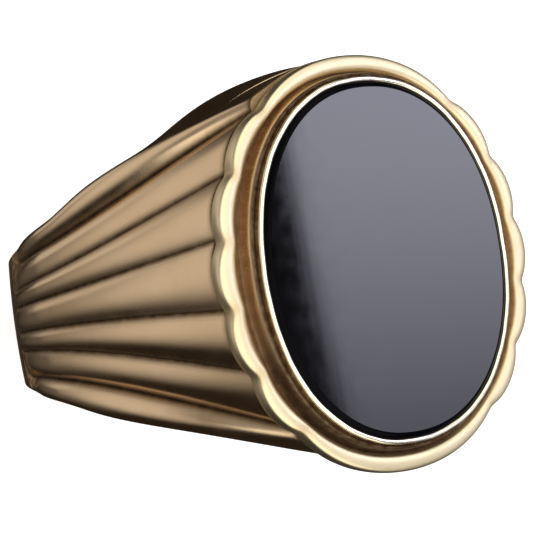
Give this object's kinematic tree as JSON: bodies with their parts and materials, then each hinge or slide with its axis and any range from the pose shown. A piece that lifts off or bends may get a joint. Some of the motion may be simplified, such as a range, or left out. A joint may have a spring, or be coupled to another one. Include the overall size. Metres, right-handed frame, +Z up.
{
  "type": "signet ring",
  "caption": "Gents signet ring with reeded shoulders that fan up to a scalloped plate, a raised collar and a flat oval black stone in a thin bezel.",
  "frame": {"origin": "centre of the finger bore, on its axis, at the middle of the ring's width", "axes": "+Z up through the head and out of the stone's face; +Y along the finger, which the ring's oval follows; +X across the shoulders"},
  "size_m": [0.0216, 0.0186, 0.0235],
  "materials": {
    "band_gold": "polished",
    "shoulder_gold": "polished",
    "plate_gold": "polished",
    "collar_gold": "polished",
    "bezel_gold": "polished",
    "solder_gold": "satin",
    "black_onyx": "polished",
    "cement": "matte"
  },
  "bodies": {
    "root": {"shank": "band_gold", "left_shoulder": "shoulder_gold", "right_shoulder": "shoulder_gold", "left_shank_solder": "solder_gold", "right_shank_solder": "solder_gold", "crown_solder": "solder_gold", "head_solder": "solder_gold", "table_plate": "plate_gold", "collar": "collar_gold", "bezel_cup": "bezel_gold", "setting_cement": "cement", "onyx_stone": "black_onyx"}
  },
  "joints": []
}
